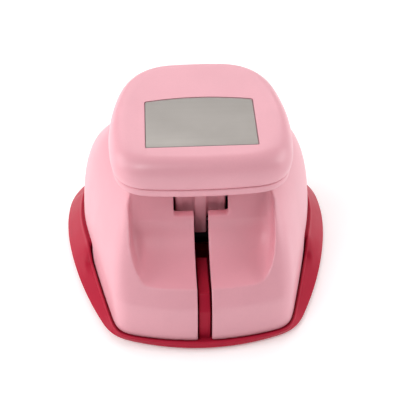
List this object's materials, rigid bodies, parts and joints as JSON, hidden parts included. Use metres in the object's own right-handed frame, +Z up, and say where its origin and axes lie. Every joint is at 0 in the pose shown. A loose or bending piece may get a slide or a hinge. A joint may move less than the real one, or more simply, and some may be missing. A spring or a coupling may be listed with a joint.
{
  "type": "lever corner rounder punch",
  "caption": "Table-top craft punch with a palm-pad lever that trims the corner of a sheet to a round; moulded housing on a flared tray.",
  "frame": {"origin": "centre of the footprint on the table, at the bottom of the feet", "axes": "+Z up; -Y is the front, where the palm pad overhangs; paper goes in from +Y; +X to the right seen from the front"},
  "size_m": [0.0822, 0.0848, 0.0643],
  "materials": {
    "shell_pink": "satin moulded ABS",
    "tray_crimson": "satin moulded ABS",
    "label_silver": "satin silver foil plate",
    "steel": "ground and nickel plated",
    "zinc": "die-cast zinc, tumbled",
    "rubber": "matt"
  },
  "bodies": {
    "base": {"base_tray": "tray_crimson", "top_housing": "shell_pink", "die_plate": "steel", "guide_plate": "steel", "fence_left": "steel", "fence_right": "steel", "die_screw_1": "steel", "die_screw_2": "steel", "die_screw_3": "steel", "die_screw_4": "steel", "housing_screw_1": "steel", "housing_screw_2": "steel", "housing_screw_3": "steel", "housing_screw_4": "steel", "pivot_frame": "steel", "pivot_pin": "steel", "pin_clip_left": "steel", "pin_clip_right": "steel", "guide_post_left": "steel", "guide_post_right": "steel", "return_spring_left": "steel", "return_spring_right": "steel", "rubber_foot_1": "rubber", "rubber_foot_2": "rubber", "rubber_foot_3": "rubber", "rubber_foot_4": "rubber"},
    "lever": {"lever_arm": "shell_pink", "lever_cap": "shell_pink", "label_plate": "label_silver", "cap_screw_1": "steel", "cap_screw_2": "steel"},
    "punch": {"punch_carrier": "zinc", "punch_blade": "steel", "blade_screw": "steel", "pusher_roller": "steel"}
  },
  "joints": [
    {"name": "lever_hinge", "type": "hinge", "parent": "base", "child": "lever", "pos_m": [0, 0.0235, 0.0295], "axis": [1, 0, 0], "range_deg": [0, 11.5], "stiffness_Nm_per_rad": 1.2, "springref_deg": -11.46},
    {"name": "punch_stroke", "type": "slide", "parent": "base", "child": "punch", "axis": [0, 0, -1], "range_m": [0, 0.0036], "deforming": ["return_spring_left", "return_spring_right"]}
  ],
  "couplings": [
    {"joint": "punch_stroke", "follows": "lever_hinge", "m_per_rad": 0.0175}
  ]
}
